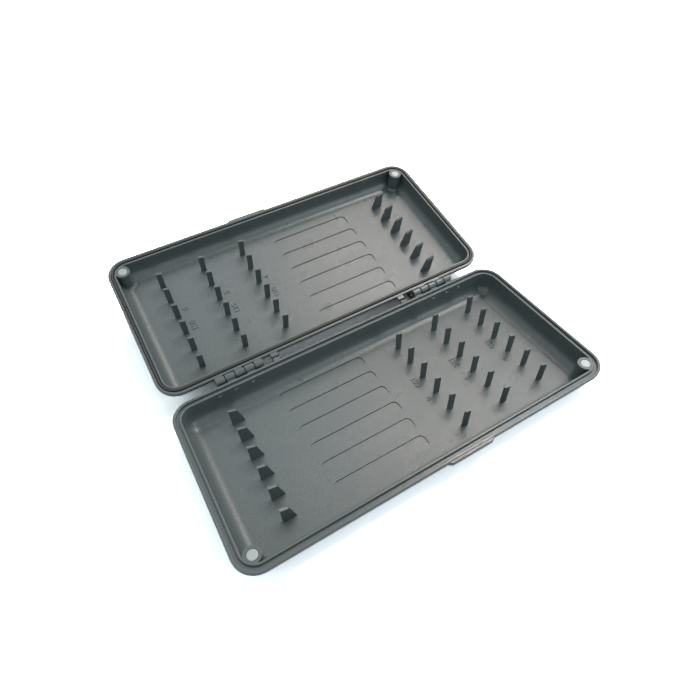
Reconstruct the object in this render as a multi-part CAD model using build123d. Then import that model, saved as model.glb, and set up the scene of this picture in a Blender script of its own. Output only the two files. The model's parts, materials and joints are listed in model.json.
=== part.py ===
from build123d import *
import os
from math import cos, radians, sqrt, tan

os.makedirs("parts", exist_ok=True)

# A slim two-part box for tied fishing rigs, lying open. Millimetres, +Z up.
# The origin is the centre of the base tray's underside, +X runs along the hinge,
# and the hinge and the lid are on the +Y side.

# Shell: the inner lip's centre line is the outline that everything else is offset from
LIP_LENGTH = 193.4
LIP_DEPTH = 86.7
LIP_CORNER_R = 7.5
BASE_DEPTH = 13.5
LID_DEPTH = 11.4
WALL = 1.8
FLOOR_T = 1.8
COVE_R = 6.4
ROUND_SPARE = 0.2

# Rim: an inner lip, a channel and an outer lip, on a flange that stands out from the wall
INNER_LIP_W = 1.2
CHANNEL_W = 1.7
OUTER_LIP_W = 1.5
BASE_CHANNEL_DEPTH = 1.3
LID_CHANNEL_DEPTH = 2.0
CHANNEL_FLOOR_T = 0.9
LIP_ROUND = 0.35
FLANGE_UNDER_ROUND = 0.8
CLOSED_GAP = 0.4

# Rubber seal in the lid's channel
SEAL_SIDE_GAP = 0.2
SEAL_PROUD = 0.7
SEAL_CROWN_R = 0.5
SEAL_JOINT_GAP = 0.35
SEAL_JOINT_FROM_HINGE = 64.0

# Hinge: two clusters of knuckles that take turns between the halves, with a pin in each
OPEN_TILT = 12.65
KNUCKLE_R = 2.0
KNUCKLE_LENGTH = 4.95
KNUCKLE_GAP = 0.4
KNUCKLE_COUNT = 5
KNUCKLE_TO_FLANGE = 0.6
KNUCKLE_ROUND = 0.35
CLUSTER_FROM_END = 22.9
PIN_R = 0.75
PIN_CLEARANCE = 0.05
PIN_END_WALL = 0.7
PIN_END_GAP = 0.3
PIN_WINDOW = 5.05
KEEPER_LENGTH = 4.2
KEEPER_HEIGHT = 2.0
KEEPER_TO_AXIS = 0.35
KEEPER_ROUND = 0.4
STOP_GAP = 0.3
STOP_BELOW_KNUCKLE = 1.25
STOP_HEIGHT = 2.6
STOP_HEEL = 2.0

# Magnets in round posts at the free corners
MAGNET_R = 2.5
MAGNET_T = 3.0
MAGNET_FIT = 0.05
POST_WALL = 1.4
POST_TO_CHANNEL = 0.15
POST_FOOT = 1.0

# Finger tab on the free edge, beside the other half's tab
TAB_OVERLAP = 1.0
TAB_LENGTH = 26.4
TAB_REACH = 1.3
TAB_T = 2.2
TAB_DROP = 0.3
TAB_END_SLOPE = 2.0
TAB_CORNER_R = 1.6

# Rig storage on the floor: hook fins at one end, line slots, then columns of pegs
ROW_PITCH = 11.75
ROWS_FROM_LIP = 11.6
ROWS_TO_FREE_LIP = 14.0
FIN_FROM_END = 21.9
FIN_BASE = 6.8
FIN_TOP = 4.4
FIN_HEIGHT = 11.7
FIN_TOP_FALL = 1.5
FIN_T = 1.3
FIN_SHOULDER_R = 1.2
PEG_FIRST_REACH = 99.0
PEG_COLUMN_PITCH = 25.4
PEG_TO_END = 19.0
PEG_W = 3.2
PEG_T = 1.2
PEG_HEIGHT = 12.5
PEG_TURN = -13.0
PEG_ROUND = 0.3
PEG_STAGGER = 0.95
PEG_ROW_SHIFT = 2.45
SLOT_FROM_FIN = 27.1
SLOT_TO_PEG = 20.9
SLOT_LAND = 4.15
SLOT_CORNER_R = 2.8
SLOT_DEPTH = 0.5
SLOT_ROW_SHIFT = -0.48

# Sizes that follow from the values above, in a half's own frame: the hinge axis is the X axis,
# the half lies on the -Y side of it, and its rim is just under it
RIM_Z = -CLOSED_GAP / 2
HALF_LENGTH = LIP_LENGTH / 2
CAVITY_REACH = -INNER_LIP_W / 2
WALL_REACH = CAVITY_REACH + WALL
CHANNEL_IN = INNER_LIP_W / 2
CHANNEL_OUT = CHANNEL_IN + CHANNEL_W
FLANGE_REACH = CHANNEL_OUT + OUTER_LIP_W
FLANGE_T = LID_CHANNEL_DEPTH + CHANNEL_FLOOR_T
FLANGE_Y = -(KNUCKLE_R + KNUCKLE_TO_FLANGE)
HINGE_LIP_Y = FLANGE_Y - FLANGE_REACH
FREE_LIP_Y = HINGE_LIP_Y - LIP_DEPTH
FREE_EDGE_Y = FREE_LIP_Y - FLANGE_REACH
MIDDLE_Y = (HINGE_LIP_Y + FREE_LIP_Y) / 2
KNUCKLE_PITCH = KNUCKLE_LENGTH + KNUCKLE_GAP
CLUSTER_OUT = HALF_LENGTH - CLUSTER_FROM_END
CLUSTER_IN = CLUSTER_OUT - KNUCKLE_COUNT * KNUCKLE_PITCH + KNUCKLE_GAP
BORE_R = PIN_R + PIN_CLEARANCE
POST_R = MAGNET_R + MAGNET_FIT + POST_WALL
FIN_X = -HALF_LENGTH + FIN_FROM_END
ROW_COUNT = int((LIP_DEPTH - ROWS_FROM_LIP - ROWS_TO_FREE_LIP) // ROW_PITCH) + 1
COLUMN_COUNT = int((HALF_LENGTH - PEG_TO_END - FIN_X - PEG_FIRST_REACH) // PEG_COLUMN_PITCH) + 1
AXIS_Y = -MIDDLE_Y
AXIS_Z = BASE_DEPTH + FLOOR_T - RIM_Z


def row_y(row, shift=0.0):
    """Y of a storage row, counted from the hinge."""
    return HINGE_LIP_Y - ROWS_FROM_LIP - shift - row * ROW_PITCH


def column_x(column):
    """X of a peg column, counted from the slots."""
    return FIN_X + PEG_FIRST_REACH + column * PEG_COLUMN_PITCH


def plate(reach, top, height):
    """A slab whose outline is the inner lip's centre line moved outwards by reach."""
    outline = RectangleRounded(LIP_LENGTH + 2 * reach, LIP_DEPTH + 2 * reach, LIP_CORNER_R + reach)
    return Pos(0, MIDDLE_Y, top - height) * extrude(outline, height)


def edges_at(shape, z):
    """The shape's edges that lie flat at height z."""
    return shape.edges().filter_by_position(Axis.Z, z - 0.01, z + 0.01)


def block(x_range, y_range, z_range):
    """A box given by its lowest and highest X, Y and Z."""
    spans = (x_range, y_range, z_range)
    size = [high - low for low, high in spans]
    middle = [(high + low) / 2 for low, high in spans]
    return Pos(*middle) * Box(*size)


def bowl(reach, depth, bottom_round):
    """A slab down from the rim with its lower edge rounded, as far as its corners allow."""
    form = plate(reach, RIM_Z, depth)
    largest = LIP_CORNER_R + reach - ROUND_SPARE
    return fillet(edges_at(form, RIM_Z - depth), min(bottom_round, largest))


def outside(depth):
    """The outer form of a half's tub, solid right through."""
    return bowl(WALL_REACH, depth + FLOOR_T, COVE_R + WALL)


def shell(depth, channel_depth):
    """The coved tub with its flange, lips and channel."""
    flange = bowl(FLANGE_REACH, FLANGE_T, FLANGE_UNDER_ROUND)
    cavity = bowl(CAVITY_REACH, depth, COVE_R)
    channel = plate(CHANNEL_OUT, RIM_Z, channel_depth) - plate(CHANNEL_IN, RIM_Z, channel_depth)
    body = outside(depth) + flange - cavity - channel
    return fillet(edges_at(body, RIM_Z), LIP_ROUND)


def post_centres():
    """Centres of the magnet posts, left then right, tucked into the lip's free corners."""
    inset = LIP_CORNER_R - (LIP_CORNER_R + CHANNEL_IN - POST_TO_CHANNEL - POST_R) / sqrt(2)
    return [(side * (HALF_LENGTH - inset), FREE_LIP_Y + inset) for side in (-1, 1)]


def posts(depth):
    """A full-height post with a wider foot in each free corner, kept inside the tub's outer form."""
    upright = (Align.CENTER, Align.CENTER, Align.MIN)
    post = Cylinder(POST_R, depth, align=upright) + Cone(POST_R + POST_FOOT, POST_R, POST_FOOT, align=upright)
    return [Pos(x, y, RIM_Z - depth) * post & outside(depth) for x, y in post_centres()]


def magnets():
    """One disc magnet for each post, left then right, flush with the rim."""
    return [Pos(x, y, RIM_Z - MAGNET_T / 2) * Cylinder(MAGNET_R, MAGNET_T) for x, y in post_centres()]


def magnet_pockets():
    """The blind pockets that the magnets are pressed into."""
    pocket = Cylinder(MAGNET_R + MAGNET_FIT, MAGNET_T)
    return [Pos(x, y, RIM_Z - MAGNET_T / 2) * pocket for x, y in post_centres()]


def along_x(radius, start, end):
    """A cylinder on the hinge axis from start to end."""
    return Pos((start + end) / 2, 0, 0) * Rot(0, 90, 0) * Cylinder(radius, abs(end - start))


def barrel(start, end):
    """A hinge knuckle's round part, with its end edges rounded."""
    body = along_x(KNUCKLE_R, start, end)
    return fillet(body.edges().filter_by(GeomType.CIRCLE), KNUCKLE_ROUND)


def knuckles():
    """This half's barrels: every other place, so that its twin turned half round fills the rest."""
    solids = []
    for side in (-1, 1):
        first = 0 if side > 0 else 1
        for place in range(first, KNUCKLE_COUNT, 2):
            outer = side * (CLUSTER_OUT - place * KNUCKLE_PITCH)
            inner = outer - side * KNUCKLE_LENGTH
            x_range = (min(outer, inner) + KNUCKLE_ROUND, max(outer, inner) - KNUCKLE_ROUND)
            solids.append(barrel(outer, inner))
            solids.append(block(x_range, (FLANGE_Y - OUTER_LIP_W / 2, 0), (-KNUCKLE_R, RIM_Z)))
    return solids


def pin_span(side, end_gap):
    """Start and end of the hinge pin, or of its bore, on one side."""
    return side * CLUSTER_IN, side * (CLUSTER_OUT - PIN_END_WALL - end_gap)


def pin_bores():
    """Blind bores on the hinge axis, open towards the middle."""
    return [along_x(BORE_R, *pin_span(side, 0)) for side in (-1, 1)]


def pin(side):
    """A steel pin through one cluster of knuckles."""
    return along_x(PIN_R, *pin_span(side, PIN_END_GAP))


def keepers():
    """Small blocks past the pin window that keep a pin from working out."""
    solids = []
    for side in (-1, 1):
        outer = side * (CLUSTER_IN - PIN_WINDOW)
        inner = outer - side * KEEPER_LENGTH
        x_range = (min(outer, inner), max(outer, inner))
        keeper = block(x_range, (FLANGE_Y - OUTER_LIP_W / 2, -KEEPER_TO_AXIS),
                       (RIM_Z - KEEPER_HEIGHT, RIM_Z - LIP_ROUND))
        solids.append(fillet(edges_at(keeper, RIM_Z - LIP_ROUND), KEEPER_ROUND))
    return solids


def stop_ledges():
    """Ledges under the knuckles that meet the other half's ledges when the box is open."""
    top = -(KNUCKLE_R + STOP_BELOW_KNUCKLE)
    low = top - STOP_HEIGHT
    root = HINGE_LIP_Y + WALL_REACH - WALL / 3
    lean = tan(radians(OPEN_TILT / 2))
    set_back = STOP_GAP / 2 / cos(radians(OPEN_TILT / 2))
    profile = Polyline((root, top), (-top * lean - set_back, top), (-low * lean - set_back, low),
                       (root, low - STOP_HEEL), (root, top))
    length = CLUSTER_OUT - CLUSTER_IN - 2 * KNUCKLE_GAP
    ledge = extrude(Plane.YZ * make_face(profile), length / 2, both=True)
    middle = (CLUSTER_OUT + CLUSTER_IN) / 2
    return [Pos(side * middle, 0, 0) * ledge for side in (-1, 1)]


def finger_tab():
    """The lip that a finger lifts, on the free edge."""
    top = RIM_Z - TAB_DROP
    start, end = -TAB_OVERLAP, TAB_LENGTH - TAB_OVERLAP
    root, tip = FREE_EDGE_Y + OUTER_LIP_W / 2, FREE_EDGE_Y - TAB_REACH
    outline = Polyline((start, root), (start, FREE_EDGE_Y), (start + TAB_END_SLOPE, tip),
                       (end - TAB_END_SLOPE, tip), (end, FREE_EDGE_Y), (end, root), (start, root))
    tab = Pos(0, 0, top - TAB_T) * extrude(make_face(outline), TAB_T)
    corners = tab.edges().filter_by(Axis.Z).group_by(Axis.Y)[0]
    tab = fillet(corners, TAB_CORNER_R)
    return fillet(edges_at(tab, top).filter_by(Axis.X).group_by(Axis.Y)[0], LIP_ROUND)


def line_slots(depth):
    """Shallow recesses in the floor, one for each row, from the fins to the first pegs."""
    start = FIN_X + SLOT_FROM_FIN
    length = column_x(0) - SLOT_TO_PEG - start
    slot = extrude(RectangleRounded(length, ROW_PITCH - SLOT_LAND, SLOT_CORNER_R), SLOT_DEPTH)
    place_z = RIM_Z - depth - SLOT_DEPTH
    return [Pos(start + length / 2, row_y(row, SLOT_ROW_SHIFT), place_z) * slot for row in range(ROW_COUNT)]


def tray(depth, channel_depth):
    """One half of the box, without its separate pieces."""
    body = shell(depth, channel_depth)
    for piece in posts(depth) + knuckles() + keepers() + stop_ledges() + [finger_tab()]:
        body += piece
    for hole in magnet_pockets() + pin_bores() + line_slots(depth):
        body -= hole
    return body


def fin():
    """A hook fin: upright at the outer end, sloping down towards the slots."""
    profile = Polyline((0, 0), (0, FIN_HEIGHT), (FIN_TOP, FIN_HEIGHT - FIN_TOP_FALL), (FIN_BASE, 0), (0, 0))
    blade = extrude(Plane.XZ * make_face(profile), FIN_T / 2, both=True)
    shoulder = blade.edges().filter_by(Axis.Y).group_by(Axis.X)[1]
    return fillet(shoulder, FIN_SHOULDER_R)


def fins(depth):
    """The row of hook fins, standing on the floor."""
    blade = fin()
    return Compound(children=[Pos(FIN_X, row_y(row), RIM_Z - depth) * blade for row in range(ROW_COUNT)])


def peg():
    """A thin upright peg, turned a little so that the line runs round its edge."""
    post = Box(PEG_W, PEG_T, PEG_HEIGHT, align=(Align.CENTER, Align.CENTER, Align.MIN))
    post = fillet(post.edges().filter_by(Axis.Z), PEG_ROUND)
    post = fillet(edges_at(post, PEG_HEIGHT), PEG_ROUND / 2)
    return Rot(0, 0, PEG_TURN) * post


def pegs(depth, column):
    """One column of pegs, standing on the floor."""
    post = peg()
    shift = PEG_ROW_SHIFT - column * PEG_STAGGER
    x = column_x(column)
    return Compound(children=[Pos(x, row_y(row, shift), RIM_Z - depth) * post for row in range(ROW_COUNT)])


def seal():
    """The rubber cord in the lid's channel, with the gap where its ends meet."""
    inner = CHANNEL_IN + SEAL_SIDE_GAP
    outer = CHANNEL_OUT - SEAL_SIDE_GAP
    height = LID_CHANNEL_DEPTH + SEAL_PROUD
    ring = plate(outer, RIM_Z + SEAL_PROUD, height) - plate(inner, RIM_Z + SEAL_PROUD, height)
    ring = fillet(edges_at(ring, RIM_Z + SEAL_PROUD), SEAL_CROWN_R)
    joint_y = -SEAL_JOINT_FROM_HINGE
    cut = block((HALF_LENGTH, HALF_LENGTH + FLANGE_REACH),
                (joint_y - SEAL_JOINT_GAP / 2, joint_y + SEAL_JOINT_GAP / 2),
                (RIM_Z - LID_CHANNEL_DEPTH, RIM_Z + SEAL_PROUD))
    return ring - cut


def place_base(shape):
    """Move a piece from a half's own frame to the base."""
    return Pos(0, AXIS_Y, AXIS_Z) * shape


def place_lid(shape):
    """Move a piece from a half's own frame to the open lid, which is turned half round."""
    return Pos(0, AXIS_Y, AXIS_Z) * Rot(OPEN_TILT, 0, 0) * Rot(0, 0, 180) * shape


def main():
    left_magnet, right_magnet = magnets()
    nodes = {
        "base_tray": place_base(tray(BASE_DEPTH, BASE_CHANNEL_DEPTH)),
        "base_hook_fins": place_base(fins(BASE_DEPTH)),
        "base_magnet_left": place_base(left_magnet),
        "base_magnet_right": place_base(right_magnet),
        "hinge_pin_left": place_base(pin(-1)),
        "hinge_pin_right": place_base(pin(1)),
        "lid_tray": place_lid(tray(LID_DEPTH, LID_CHANNEL_DEPTH)),
        "lid_hook_fins": place_lid(fins(LID_DEPTH)),
        "lid_magnet_left": place_lid(right_magnet),
        "lid_magnet_right": place_lid(left_magnet),
        "lid_seal": place_lid(seal()),
    }
    for column in range(COLUMN_COUNT):
        nodes[f"base_pegs_{column + 1}"] = place_base(pegs(BASE_DEPTH, column))
        nodes[f"lid_pegs_{column + 1}"] = place_lid(pegs(LID_DEPTH, column))
    for name, shape in nodes.items():
        export_step(shape, f"parts/{name}.step")


main()
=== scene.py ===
import bpy
import json
import math
from mathutils import Matrix, Vector


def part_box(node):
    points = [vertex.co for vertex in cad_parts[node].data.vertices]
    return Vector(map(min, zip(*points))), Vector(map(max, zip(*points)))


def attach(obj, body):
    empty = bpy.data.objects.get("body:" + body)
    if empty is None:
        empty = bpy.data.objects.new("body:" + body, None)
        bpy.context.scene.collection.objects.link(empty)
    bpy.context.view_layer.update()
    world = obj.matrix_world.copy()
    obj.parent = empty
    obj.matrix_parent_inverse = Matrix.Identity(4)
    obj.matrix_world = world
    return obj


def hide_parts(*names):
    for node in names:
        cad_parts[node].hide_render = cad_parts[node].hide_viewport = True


# A slim two-part rig box, lying open. Metres, +Z up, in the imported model's own frame.
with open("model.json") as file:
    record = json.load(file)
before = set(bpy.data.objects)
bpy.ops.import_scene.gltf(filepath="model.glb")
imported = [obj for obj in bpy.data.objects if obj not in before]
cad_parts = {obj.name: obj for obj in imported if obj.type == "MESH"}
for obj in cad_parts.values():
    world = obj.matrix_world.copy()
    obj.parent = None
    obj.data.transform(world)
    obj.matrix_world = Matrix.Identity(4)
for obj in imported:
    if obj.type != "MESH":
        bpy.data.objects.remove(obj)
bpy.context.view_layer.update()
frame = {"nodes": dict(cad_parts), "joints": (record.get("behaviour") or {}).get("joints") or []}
bpy.ops.object.select_all(action="DESELECT")
bpy.context.view_layer.objects.active = None

nodes = frame["nodes"]
hinge = frame["joints"][0]
MM = 0.001

# Camera: the photograph's viewpoint, in the box's own frame
CAMERA_PLACE = (-0.08779, -0.12225, 0.22217)
CAMERA_LOOK = (0.3056, 0.5705, -0.7623)
CAMERA_RIGHT = (0.8613, -0.5070, -0.0341)
CAMERA_LENS_MM = 26.396
CAMERA_CLIP = (0.01, 50.0)
SENSOR_MM = 36.0

# The two halves: each is described with the hinge on its X axis and its tray on the -Y side
HINGE_PLACE = Vector(hinge["pos_m"])
OPEN_TILT = math.radians(180 - hinge["range_deg"][1])
HALVES = ("base", "lid")
TRAY_FLOORS = {"base": -13.7 * MM, "lid": -11.6 * MM}
SLOT_DEPTH = 0.5 * MM
HINGE_WALL = -7.0 * MM

# Magnets: nickel-plated discs with rounded rims
MAGNET_SIDES = 64
MAGNET_RIM_ROUND = 0.3 * MM
MAGNET_DISH = 0.05 * MM
MAGNET_DISH_INSET = 0.9 * MM

# Shell plastic: the two colours of its grain, the shade of its clouds and their share, its roughness, and
# the part of each pattern over which they change
SHELL_COLOURS = ((0.086, 0.108, 0.109), (0.118, 0.140, 0.140))
SHELL_SHADE = (0.100, 0.121, 0.121)
SHADE_SHARE = 0.6
SHELL_ROUGHNESS = (0.25, 0.32)
GRAIN_SPAN = (0.35, 0.65)
CLOUD_SPAN = (0.1, 0.9)

# Grain: its depth, and how strong it is in the slots and up the walls, where it is 1 on the floor
GRAIN_DEPTH = 0.11 * MM
SLOT_GRAIN = 0.7
SLOT_SOFT = 0.05 * MM
WALL_GRAIN = 0.25
WALL_FOOT = (0.1 * MM, 2.5 * MM)
LEAST_GRAIN = 0.2

# Finger tabs: the edge that fingers have rubbed smooth, from and to along X, and where it begins in Y
RUBBED_SPAN = (0.0 * MM, 24.4 * MM)
RUBBED_EDGE = -95.7 * MM
RUBBED_SPAN_SOFT = 1.0 * MM
RUBBED_EDGE_SOFT = 0.4 * MM
RUBBED_ROUGHNESS = 0.14

# Seal, magnets and pins: the part of a pattern that turns the surface from glossy to rough
WORN_SPAN = (0.3, 0.7)

# Raised numbers: rig lengths in millimetres and inches beside the peg columns
COLUMN_MARKS = ("100      4", "125      5", "150      6")
MARK_SIZE = 4.7 * MM
MARK_RAISE = 0.35 * MM
MARK_FROM_PEGS = 5.6 * MM
MARK_MIDDLE = -50.0 * MM
MARK_CURVE_STEPS = 4

# Core marks on the hinge-side wall, one behind each knuckle place that the tool closes
CORE_MARK_PLACES = (56.9 * MM, 66.1 * MM, 74.8 * MM)
CORE_MARK_SIZE = (1.9 * MM, 1.6 * MM, 0.8 * MM)
CORE_MARK_BELOW_RIM = 2.4 * MM
CORE_MARK_ROUND = 0.25 * MM

# Edges are bevelled from the first angle on and shaded smooth up to the second
BEVEL_FROM = math.radians(40)
SMOOTH_UP_TO = math.radians(35)

# A top face's normal has at least this much of its length straight up
FACING_UP = 0.99

# Lamps: name, azimuth and elevation in degrees, side in metres, power in watts, colour
LAMP_DISTANCE = 1.3
LAMPS = (
    ("key_softbox", 41, 59, 0.24, 3.3, (1.0, 0.86, 0.78)),
    ("side_softbox", 61, 48, 0.26, 0.6, (1.0, 0.75, 0.65)),
    ("low_side_softbox", 28, 46, 0.3, 0.7, (1.0, 0.93, 0.88)),
    ("back_softbox", 80, 60, 0.36, 1.0, (0.65, 0.88, 1.0)),
    ("high_fill", 120, 62, 0.75, 1.0, (0.92, 0.95, 1.0)),
    ("right_lamp_front", -6, 60, 0.10, 3.3, (1.0, 0.98, 0.95)),
    ("right_lamp_back", 14, 57, 0.10, 2.9, (1.0, 0.98, 0.95)),
    ("right_fill", 0, 42, 1.1, 2.3, (0.92, 0.97, 1.0)),
    ("front_right_fill", 308, 28, 0.6, 2.4, (0.82, 0.9, 1.0)),
    ("left_fill", 180, 38, 1.1, 2.6, (0.8, 0.97, 1.0)),
    ("front_fill", 270, 22, 1.6, 2.8, (0.7, 0.92, 1.0)),
)

# World and floor: the light that the box gets, and what the camera sees in their place
WORLD_LEVEL = 0.15
WORLD_SEEN = 1.0
WHITE = (1.0, 1.0, 1.0, 1.0)
FLOOR_SIZE = 3.0
FLOOR_PLAIN = 0.8
FLOOR_SEEN = 3.4


def half_frame(body):
    """From a half's own frame to its place in the model."""
    place = Matrix.Translation(HINGE_PLACE)
    if body == "lid":
        place = place @ Matrix.Rotation(OPEN_TILT, 4, "X") @ Matrix.Rotation(math.pi, 4, "Z")
    return place


def make_camera():
    """The camera at the photograph's place, looking the same way."""
    data = bpy.data.cameras.new("camera")
    data.lens = CAMERA_LENS_MM
    data.sensor_width = SENSOR_MM
    data.sensor_height = SENSOR_MM
    data.clip_start, data.clip_end = CAMERA_CLIP
    camera = bpy.data.objects.new("camera", data)
    bpy.context.scene.collection.objects.link(camera)
    back = -Vector(CAMERA_LOOK).normalized()
    right = Vector(CAMERA_RIGHT)
    right = (right - back * right.dot(back)).normalized()
    up = back.cross(right)
    turn = Matrix((right, up, back)).transposed()
    camera.matrix_world = Matrix.Translation(CAMERA_PLACE) @ turn.to_4x4()
    bpy.context.scene.camera = camera


# Materials

def new_material(name, rough, metal=0.0):
    """A node material with its roughness and metal set, and what is needed to add to it."""
    material = bpy.data.materials.new(name)
    material.use_nodes = True
    tree = material.node_tree
    shader = tree.nodes["Principled BSDF"]
    shader.inputs["Roughness"].default_value = rough
    shader.inputs["Metallic"].default_value = metal
    return material, tree, shader


def object_place(tree):
    """The point's place in the model."""
    return tree.nodes.new("ShaderNodeTexCoord").outputs["Object"]


def noise(tree, place, scale, detail=2.0, rough=0.5):
    """A cloudy pattern, scale patches to the metre."""
    node = tree.nodes.new("ShaderNodeTexNoise")
    node.inputs["Scale"].default_value = scale
    node.inputs["Detail"].default_value = detail
    node.inputs["Roughness"].default_value = rough
    tree.links.new(place, node.inputs["Vector"])
    return node.outputs["Fac"]


def remap(tree, value, span, out):
    """The value brought from one span to another, held at its ends."""
    node = tree.nodes.new("ShaderNodeMapRange")
    node.inputs["From Min"].default_value, node.inputs["From Max"].default_value = span
    node.inputs["To Min"].default_value, node.inputs["To Max"].default_value = out
    tree.links.new(value, node.inputs["Value"])
    return node.outputs["Result"]


def step(tree, value, edge, soft, out):
    """From the first of two numbers to the second, where the value passes the edge."""
    return remap(tree, value, (edge - soft, edge + soft), out)


def paired(tree, operation, first, second):
    """Two values made one: their product, or the larger of them."""
    node = tree.nodes.new("ShaderNodeMath")
    node.operation = operation
    tree.links.new(first, node.inputs[0])
    tree.links.new(second, node.inputs[1])
    return node.outputs[0]


def tint(tree, factor, low, high):
    """A colour between two, by the factor."""
    node = tree.nodes.new("ShaderNodeMix")
    node.data_type = "RGBA"
    node.inputs["A"].default_value = (*low, 1.0)
    node.inputs["B"].default_value = (*high, 1.0)
    tree.links.new(factor, node.inputs["Factor"])
    return node.outputs["Result"]


def mixed(tree, factor, pattern, other):
    """A pattern, with one colour or number mixed into it by the factor."""
    node = tree.nodes.new("ShaderNodeMix")
    node.data_type = "FLOAT" if isinstance(other, float) else "RGBA"
    tree.links.new(factor, node.inputs["Factor"])
    tree.links.new(pattern, node.inputs["A"])
    node.inputs["B"].default_value = other
    return node.outputs["Result"]


def bump(tree, shader, height, strength, depth):
    """Relief of that depth; its strength is a number or a pattern."""
    node = tree.nodes.new("ShaderNodeBump")
    node.inputs["Distance"].default_value = depth
    if isinstance(strength, float):
        node.inputs["Strength"].default_value = strength
    else:
        tree.links.new(strength, node.inputs["Strength"])
    tree.links.new(height, node.inputs["Height"])
    tree.links.new(node.outputs["Normal"], shader.inputs["Normal"])


def worn(tree, shader, pattern, colours, roughness, strength, depth):
    """Colour, roughness and fine relief that all follow one pattern."""
    tree.links.new(tint(tree, pattern, *colours), shader.inputs["Base Color"])
    tree.links.new(remap(tree, pattern, WORN_SPAN, roughness), shader.inputs["Roughness"])
    bump(tree, shader, pattern, strength, depth)


def own_place(tree, place, body):
    """The point's X, Y and Z in its half's own frame."""
    own = tree.nodes.new("ShaderNodeMapping")
    back = half_frame(body).inverted()
    own.inputs["Rotation"].default_value = back.to_euler()
    own.inputs["Location"].default_value = back.to_translation()
    tree.links.new(place, own.inputs["Vector"])
    split = tree.nodes.new("ShaderNodeSeparateXYZ")
    tree.links.new(own.outputs["Vector"], split.inputs["Vector"])
    return [split.outputs[axis] for axis in "XYZ"]


def grain_strength(tree, height, floor):
    """Full on the tray floor, weaker in the slots, and fading up the walls."""
    above_slots = step(tree, height, floor - SLOT_DEPTH / 2, SLOT_SOFT, (SLOT_GRAIN, 1.0))
    below_walls = remap(tree, height, (floor + WALL_FOOT[0], floor + WALL_FOOT[1]), (1.0, WALL_GRAIN))
    both = paired(tree, "MULTIPLY", above_slots, below_walls)
    return remap(tree, both, (0.0, 1.0), (LEAST_GRAIN, 1.0))


def rubbed_tab(tree, along, across):
    """One on the edge of the finger tab, nought elsewhere."""
    outside = step(tree, across, RUBBED_EDGE, RUBBED_EDGE_SOFT, (1.0, 0.0))
    start = step(tree, along, RUBBED_SPAN[0], RUBBED_SPAN_SOFT, (0.0, 1.0))
    end = step(tree, along, RUBBED_SPAN[1], RUBBED_SPAN_SOFT, (1.0, 0.0))
    return paired(tree, "MULTIPLY", outside, paired(tree, "MULTIPLY", start, end))


def shell_plastic(body):
    """Dark grey-green satin plastic: a fine spark grain, faint clouds of shade and a rubbed finger tab."""
    material, tree, shader = new_material(f"{body}_shell_plastic", rough=0.32)
    place = object_place(tree)
    along, across, height = own_place(tree, place, body)
    grain = noise(tree, place, scale=1700.0, detail=3.0, rough=0.65)
    clouds = noise(tree, place, scale=55.0)
    speck = tint(tree, remap(tree, grain, GRAIN_SPAN, (0.0, 1.0)), *SHELL_COLOURS)
    share = remap(tree, clouds, CLOUD_SPAN, (0.0, SHADE_SHARE))
    tree.links.new(mixed(tree, share, speck, (*SHELL_SHADE, 1.0)), shader.inputs["Base Color"])
    satin = remap(tree, clouds, CLOUD_SPAN, SHELL_ROUGHNESS)
    rubbed = rubbed_tab(tree, along, across)
    tree.links.new(mixed(tree, rubbed, satin, RUBBED_ROUGHNESS), shader.inputs["Roughness"])
    bump(tree, shader, grain, grain_strength(tree, height, TRAY_FLOORS[body]), GRAIN_DEPTH)
    return material


def seal_rubber():
    """Soft black rubber with a dull skin."""
    material, tree, shader = new_material("seal_rubber", rough=0.55)
    skin = noise(tree, object_place(tree), scale=1200.0, detail=3.0)
    worn(tree, shader, skin, colours=((0.012, 0.013, 0.013), (0.026, 0.028, 0.027)),
         roughness=(0.48, 0.62), strength=0.5, depth=0.02 * MM)
    return material


def magnet_nickel():
    """Dull nickel plating with faint rubbed patches."""
    material, tree, shader = new_material("magnet_nickel", rough=0.58, metal=1.0)
    patches = noise(tree, object_place(tree), scale=900.0, detail=4.0, rough=0.6)
    worn(tree, shader, patches, colours=((0.25, 0.28, 0.275), (0.32, 0.35, 0.345)),
         roughness=(0.52, 0.64), strength=0.3, depth=0.01 * MM)
    return material


def pin_steel_painted_shade():
    """Steel with its colour painted dark, as painted shade for the hinge gap it sits in, with fine rings
    round the pin.
    """
    material, tree, shader = new_material("pin_steel_painted_shade", rough=0.45, metal=1.0)
    squeeze = tree.nodes.new("ShaderNodeMapping")
    squeeze.inputs["Scale"].default_value = (6.0, 1.0, 1.0)
    tree.links.new(object_place(tree), squeeze.inputs["Vector"])
    rings = noise(tree, squeeze.outputs["Vector"], scale=700.0, detail=3.0)
    # Both colours are painted dark: painted shade for the hinge gap, over the steel's fine rings
    worn(tree, shader, rings, colours=((0.06, 0.062, 0.065), (0.10, 0.103, 0.107)),
         roughness=(0.40, 0.50), strength=0.3, depth=0.01 * MM)
    return material


def dress(thing, material):
    """Give an object one material."""
    thing.data.materials.clear()
    thing.data.materials.append(material)


def finish_piece(piece, name, body, place, material):
    """Put a modelled piece in its place for good, dress it and hang it on its half."""
    piece.name = name
    piece.matrix_world = place
    bpy.ops.object.select_all(action="DESELECT")
    piece.select_set(True)
    bpy.context.view_layer.objects.active = piece
    bpy.ops.object.transform_apply(location=True, rotation=True, scale=True)
    bpy.ops.object.shade_smooth_by_angle(angle=SMOOTH_UP_TO)
    piece.select_set(False)
    dress(piece, material)
    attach(piece, body)


def round_edges(piece, width, segments):
    """Round a piece's sharp edges."""
    rounder = piece.modifiers.new("round", "BEVEL")
    rounder.width = width
    rounder.segments = segments
    rounder.limit_method = "ANGLE"
    rounder.angle_limit = BEVEL_FROM
    bpy.ops.object.modifier_apply(modifier=rounder.name)


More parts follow.
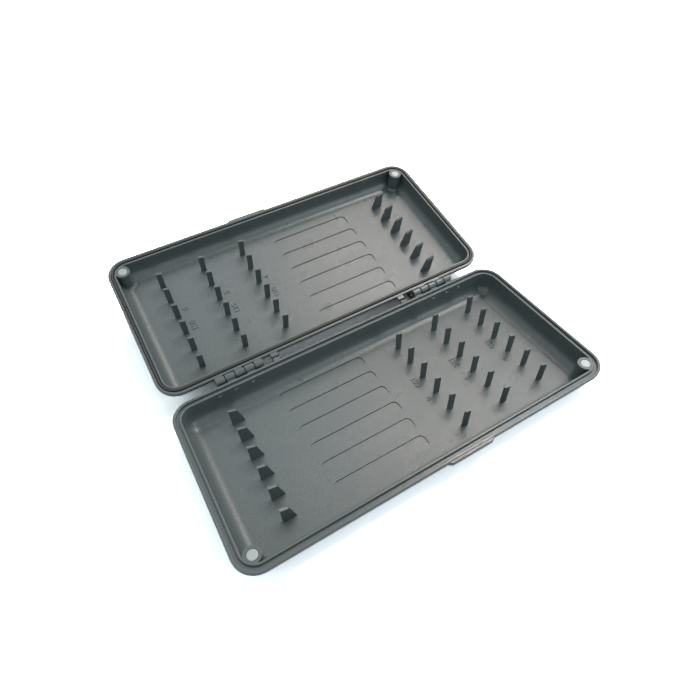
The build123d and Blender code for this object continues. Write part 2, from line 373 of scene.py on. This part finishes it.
def select_top(piece):
    """In edit mode, select the faces that look straight up."""
    bpy.ops.mesh.select_all(action="DESELECT")
    bpy.ops.object.mode_set(mode="OBJECT")
    for face in piece.data.polygons:
        face.select = face.normal.z > FACING_UP
    bpy.ops.object.mode_set(mode="EDIT")


def make_magnet(node, body, material):
    """A plated disc with rounded rims and a faintly dished face, where the plain one is."""
    low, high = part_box(node)
    flat_low, flat_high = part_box("base_magnet_left")
    radius, thickness = (high.x - low.x) / 2, flat_high.z - flat_low.z
    bpy.ops.mesh.primitive_cylinder_add(vertices=MAGNET_SIDES, radius=radius, depth=thickness)
    disc = bpy.context.active_object
    round_edges(disc, MAGNET_RIM_ROUND, segments=3)
    bpy.ops.object.mode_set(mode="EDIT")
    bpy.ops.mesh.select_mode(type="FACE")
    select_top(disc)
    bpy.ops.mesh.inset(thickness=MAGNET_DISH_INSET)
    bpy.ops.transform.translate(value=(0, 0, -MAGNET_DISH))
    bpy.ops.object.mode_set(mode="OBJECT")
    place = Matrix.Translation((low + high) / 2) @ half_frame(body).to_3x3().to_4x4()
    finish_piece(disc, f"{node}_plated", body, place, material)
    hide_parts(node)


def make_number(body, column, mark, material):
    """Raised plain numbers beside a peg column, reading towards the free edge."""
    low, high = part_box(f"{body}_pegs_{column}")
    pegs_x = (low.x + high.x) / 2 * (1 if body == "base" else -1)
    bpy.ops.object.text_add()
    words = bpy.context.active_object
    words.data.body = mark
    words.data.size = MARK_SIZE
    words.data.extrude = MARK_RAISE
    words.data.align_x = "CENTER"
    words.data.align_y = "CENTER"
    words.data.resolution_u = MARK_CURVE_STEPS
    bpy.ops.object.convert(target="MESH")
    words = bpy.context.active_object
    middle = Matrix.Translation((pegs_x - MARK_FROM_PEGS, MARK_MIDDLE, TRAY_FLOORS[body]))
    place = half_frame(body) @ (middle @ Matrix.Rotation(-math.pi / 2, 4, "Z"))
    finish_piece(words, f"{body}_number_{column}", body, place, material)


def make_core_marks(body, material):
    """Small bars on the hinge-side wall, three to a knuckle cluster."""
    bars = []
    for side in (-1, 1):
        for place in CORE_MARK_PLACES:
            middle = (side * place, HINGE_WALL, -CORE_MARK_BELOW_RIM)
            bpy.ops.mesh.primitive_cube_add(size=1.0, location=middle)
            bar = bpy.context.active_object
            bar.scale = CORE_MARK_SIZE
            bpy.ops.object.transform_apply(location=True, rotation=False, scale=True)
            round_edges(bar, CORE_MARK_ROUND, segments=2)
            bars.append(bar)
    for bar in bars:
        bar.select_set(True)
    bpy.context.view_layer.objects.active = bars[0]
    bpy.ops.object.join()
    finish_piece(bpy.context.active_object, f"{body}_core_marks", body, half_frame(body), material)


# Floor, world and lamps

def make_floor():
    """A white floor that keeps the box's soft shadow."""
    bpy.ops.mesh.primitive_plane_add(size=FLOOR_SIZE, location=(0, 0, 0))
    floor = bpy.context.active_object
    floor.name = "floor"
    material = bpy.data.materials.new("floor_white")
    material.use_nodes = True
    tree = material.node_tree
    tree.nodes.remove(tree.nodes["Principled BSDF"])
    matt = tree.nodes.new("ShaderNodeBsdfDiffuse")
    tree.links.new(matt.outputs[0], tree.nodes["Material Output"].inputs["Surface"])
    camera_ray = tree.nodes.new("ShaderNodeLightPath").outputs["Is Camera Ray"]
    level = remap(tree, camera_ray, (0.0, 1.0), (FLOOR_PLAIN, FLOOR_SEEN))
    tree.links.new(level, matt.inputs["Color"])
    floor.data.materials.append(material)
    floor.select_set(False)


def make_world():
    """Even light from all round, and a white background for the camera, gloss and glass."""
    world = bpy.data.worlds.new("studio")
    bpy.context.scene.world = world
    world.use_nodes = True
    tree = world.node_tree
    background = tree.nodes["Background"]
    background.inputs["Color"].default_value = WHITE
    rays = tree.nodes.new("ShaderNodeLightPath").outputs
    seen = paired(tree, "MAXIMUM", rays["Is Camera Ray"], rays["Is Glossy Ray"])
    seen = paired(tree, "MAXIMUM", seen, rays["Is Transmission Ray"])
    level = remap(tree, seen, (0.0, 1.0), (WORLD_LEVEL, WORLD_SEEN))
    tree.links.new(level, background.inputs["Strength"])


def softbox(name, azimuth, elevation, size, power, colour):
    """A square soft light that faces the box from an azimuth, counted from +X towards +Y."""
    aim = Vector((0, HINGE_PLACE.y, HINGE_PLACE.z))
    around, above = math.radians(azimuth), math.radians(elevation)
    level = math.cos(above)
    away = Vector((level * math.cos(around), level * math.sin(around), math.sin(above)))
    data = bpy.data.lights.new(name, "AREA")
    data.shape = "SQUARE"
    data.size = size
    data.energy = power
    data.color = colour
    lamp = bpy.data.objects.new(name, data)
    bpy.context.scene.collection.objects.link(lamp)
    lamp.visible_camera = False
    lamp.location = aim + away * LAMP_DISTANCE
    lamp.rotation_euler = (-away).to_track_quat("-Z", "Y").to_euler()


make_camera()
shells = {body: shell_plastic(body) for body in HALVES}
# The pins' steel is painted dark, as painted shade in the hinge gap
rubber, nickel, steel_painted_shade = seal_rubber(), magnet_nickel(), pin_steel_painted_shade()
for name, node in nodes.items():
    body = name.split("_")[0]
    if body in HALVES and "magnet" not in name and "seal" not in name:
        dress(node, shells[body])
    else:
        dress(node, rubber if "seal" in name else nickel if "magnet" in name else steel_painted_shade)
for body in HALVES:
    for side in ("left", "right"):
        make_magnet(f"{body}_magnet_{side}", body, nickel)
    for column, mark in enumerate(COLUMN_MARKS, 1):
        make_number(body, column, mark, shells[body])
    make_core_marks(body, shells[body])

make_floor()
make_world()
for lamp in LAMPS:
    softbox(*lamp)
bpy.context.scene.view_settings.view_transform = "Standard"
